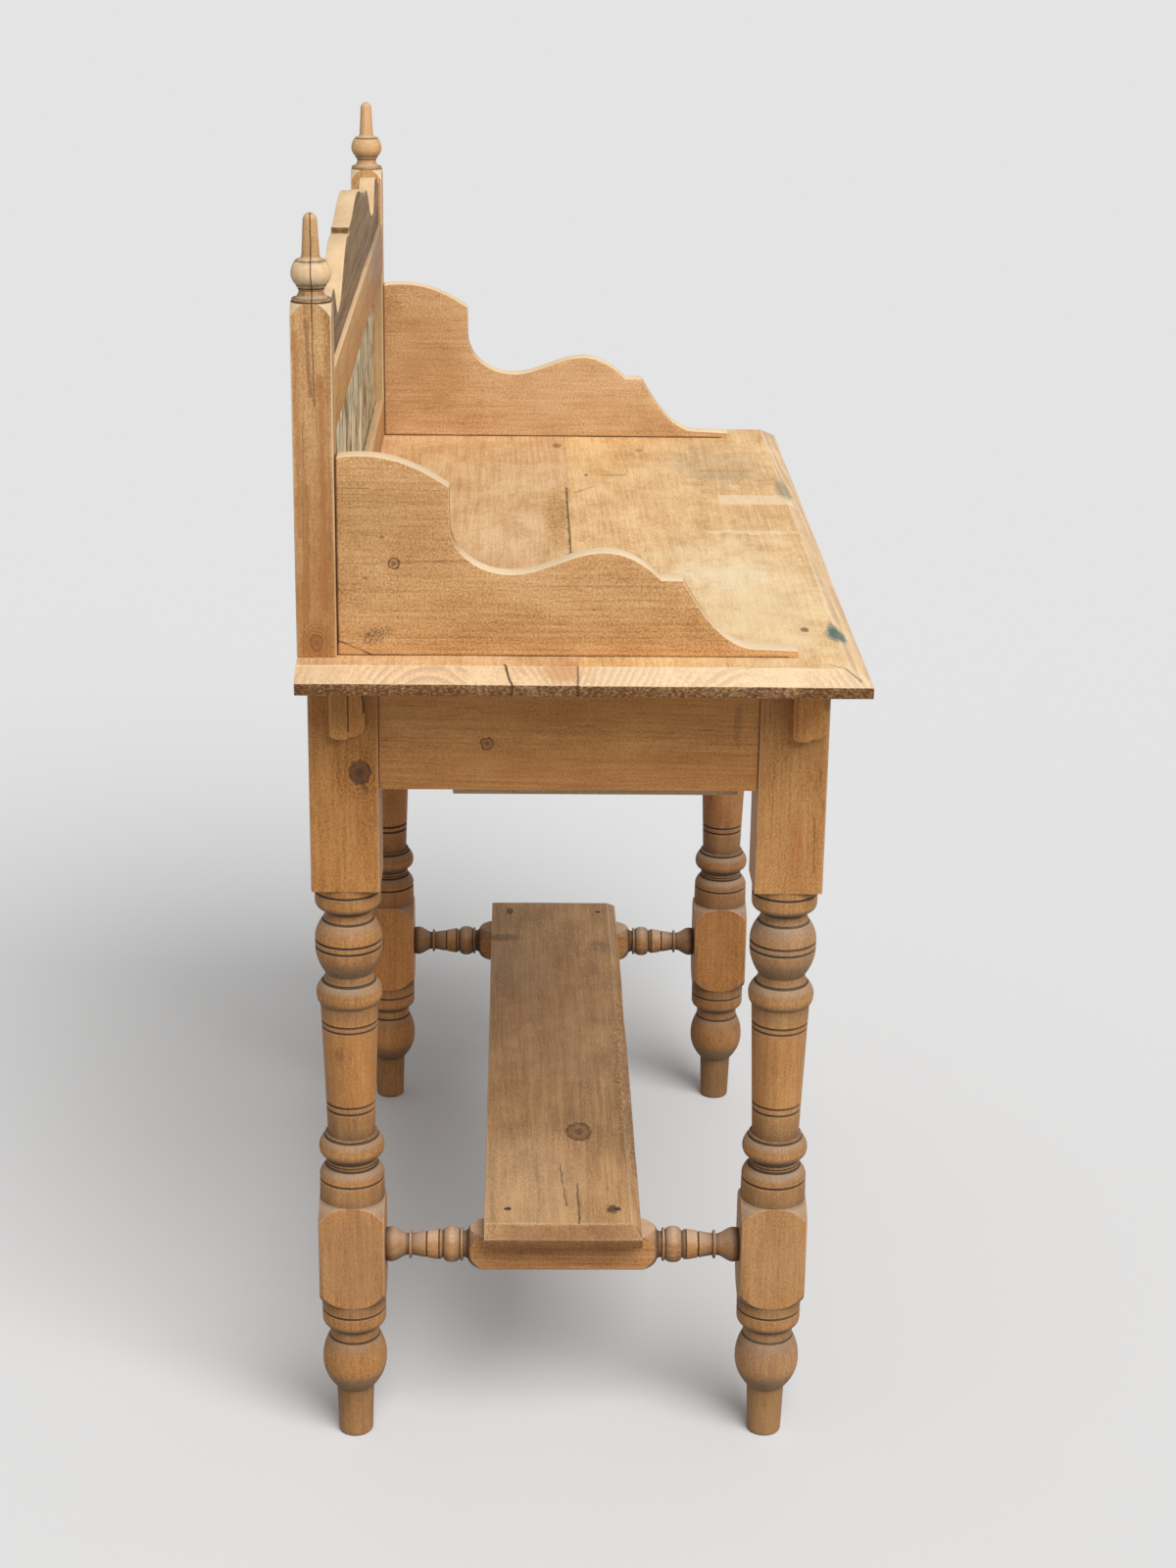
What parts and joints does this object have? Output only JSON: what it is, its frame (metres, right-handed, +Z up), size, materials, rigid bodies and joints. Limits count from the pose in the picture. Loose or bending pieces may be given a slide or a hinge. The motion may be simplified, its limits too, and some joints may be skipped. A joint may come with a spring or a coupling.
{
  "type": "washstand",
  "caption": "Pine washstand on turned legs with a frieze drawer, a low shelf, shaped side galleries and a tiled back with turned finials.",
  "frame": {"origin": "on the floor, under the middle of the top", "axes": "+X along the length to the right, -Y the front where the drawer opens, +Z up"},
  "size_m": [0.925, 0.46, 1.1105],
  "materials": {
    "pine": "stripped and waxed pine, honey tan",
    "pale_pine": "scrubbed and waxed pine, pale",
    "weathered_pine": "greyed pine, dry",
    "raw_pine": "unfinished pine",
    "glazed_tile": "mottled glossy glaze",
    "iron": "dark rusted iron"
  },
  "bodies": {
    "stand": {"leg_front_left": "pine", "leg_front_right": "pine", "leg_back_left": "pine", "leg_back_right": "pine", "end_apron_left": "pine", "end_apron_right": "pine", "back_apron": "pine", "front_top_rail": "pine", "drawer_rail": "pine", "corbel_front_left": "pine", "corbel_front_right": "pine", "corbel_back_left": "pine", "corbel_back_right": "pine", "glue_block_end_left": "raw_pine", "glue_block_end_right": "raw_pine", "glue_block_back_left": "raw_pine", "glue_block_back_right": "raw_pine", "end_stretcher_left": "pine", "end_stretcher_right": "pine", "shelf_board": "pine", "shelf_nail_front_left": "iron", "shelf_nail_front_right": "iron", "shelf_nail_back_left": "iron", "shelf_nail_back_right": "iron", "top_board_front": "pale_pine", "top_board_back": "pale_pine", "back_post_left": "pine", "back_post_right": "pine", "gallery_left": "pine", "gallery_right": "pine", "lower_back_rail": "pine", "upper_back_rail": "pine", "crest_board": "weathered_pine", "back_panel": "raw_pine", "tile_1": "glazed_tile", "tile_2": "glazed_tile", "tile_3": "glazed_tile", "tile_4": "glazed_tile", "tile_5": "glazed_tile", "tile_stile_left": "pine", "tile_stile_right": "pine", "drawer_runner_left": "raw_pine", "drawer_runner_right": "raw_pine", "drawer_kicker_left": "raw_pine", "drawer_kicker_right": "raw_pine", "drawer_stop_left": "raw_pine", "drawer_stop_right": "raw_pine"},
    "drawer": {"drawer_front": "pine", "drawer_side_left": "raw_pine", "drawer_side_right": "raw_pine", "drawer_back": "raw_pine", "drawer_bottom": "raw_pine", "drawer_knob_left": "pine", "drawer_knob_right": "pine"}
  },
  "joints": [
    {"name": "drawer_slide", "type": "slide", "parent": "stand", "child": "drawer", "axis": [0, -1, 0], "range_m": [0, 0.2]}
  ]
}
